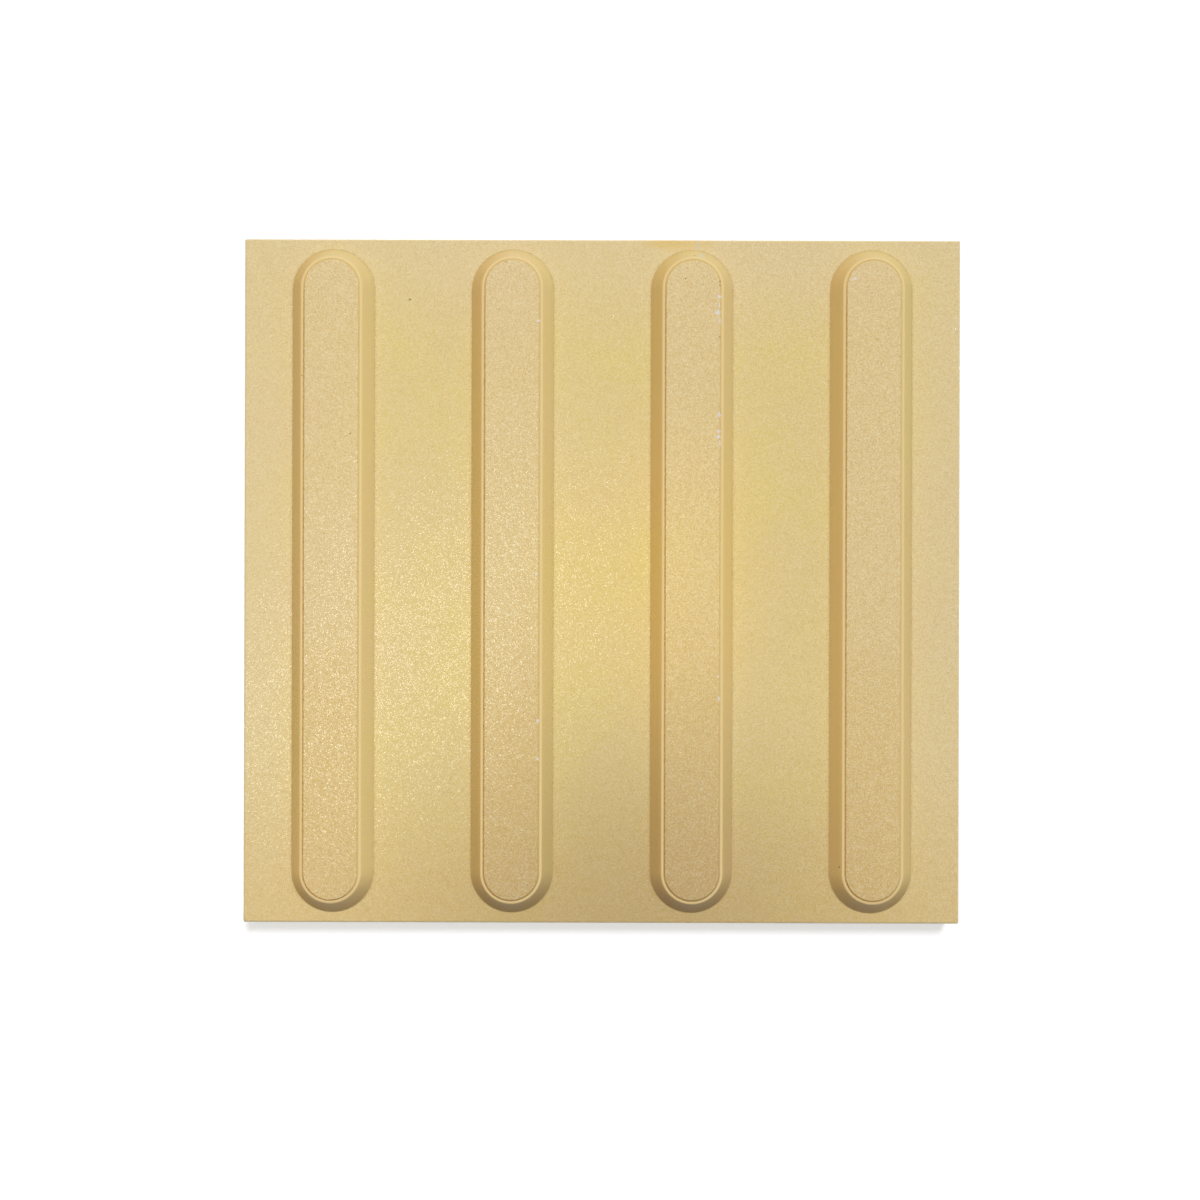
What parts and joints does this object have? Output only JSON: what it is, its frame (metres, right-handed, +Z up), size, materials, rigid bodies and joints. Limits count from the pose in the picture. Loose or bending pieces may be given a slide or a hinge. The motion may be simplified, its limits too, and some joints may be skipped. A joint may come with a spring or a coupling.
{
  "type": "tactile paving slab",
  "caption": "Near-square slab with raised flat-topped bars, half-round at their ends, laid in footways so that blind people can follow the bars with a foot or cane.",
  "frame": {"origin": "middle of the bed face, on the plane that the slab rests on", "axes": "+X across the bars, +Y along the bars, +Z up out of the walking face"},
  "size_m": [0.3, 0.2866, 0.02],
  "materials": {
    "buff_stoneware": "satin"
  },
  "bodies": {
    "root": {"tactile_slab": "buff_stoneware"}
  },
  "joints": []
}
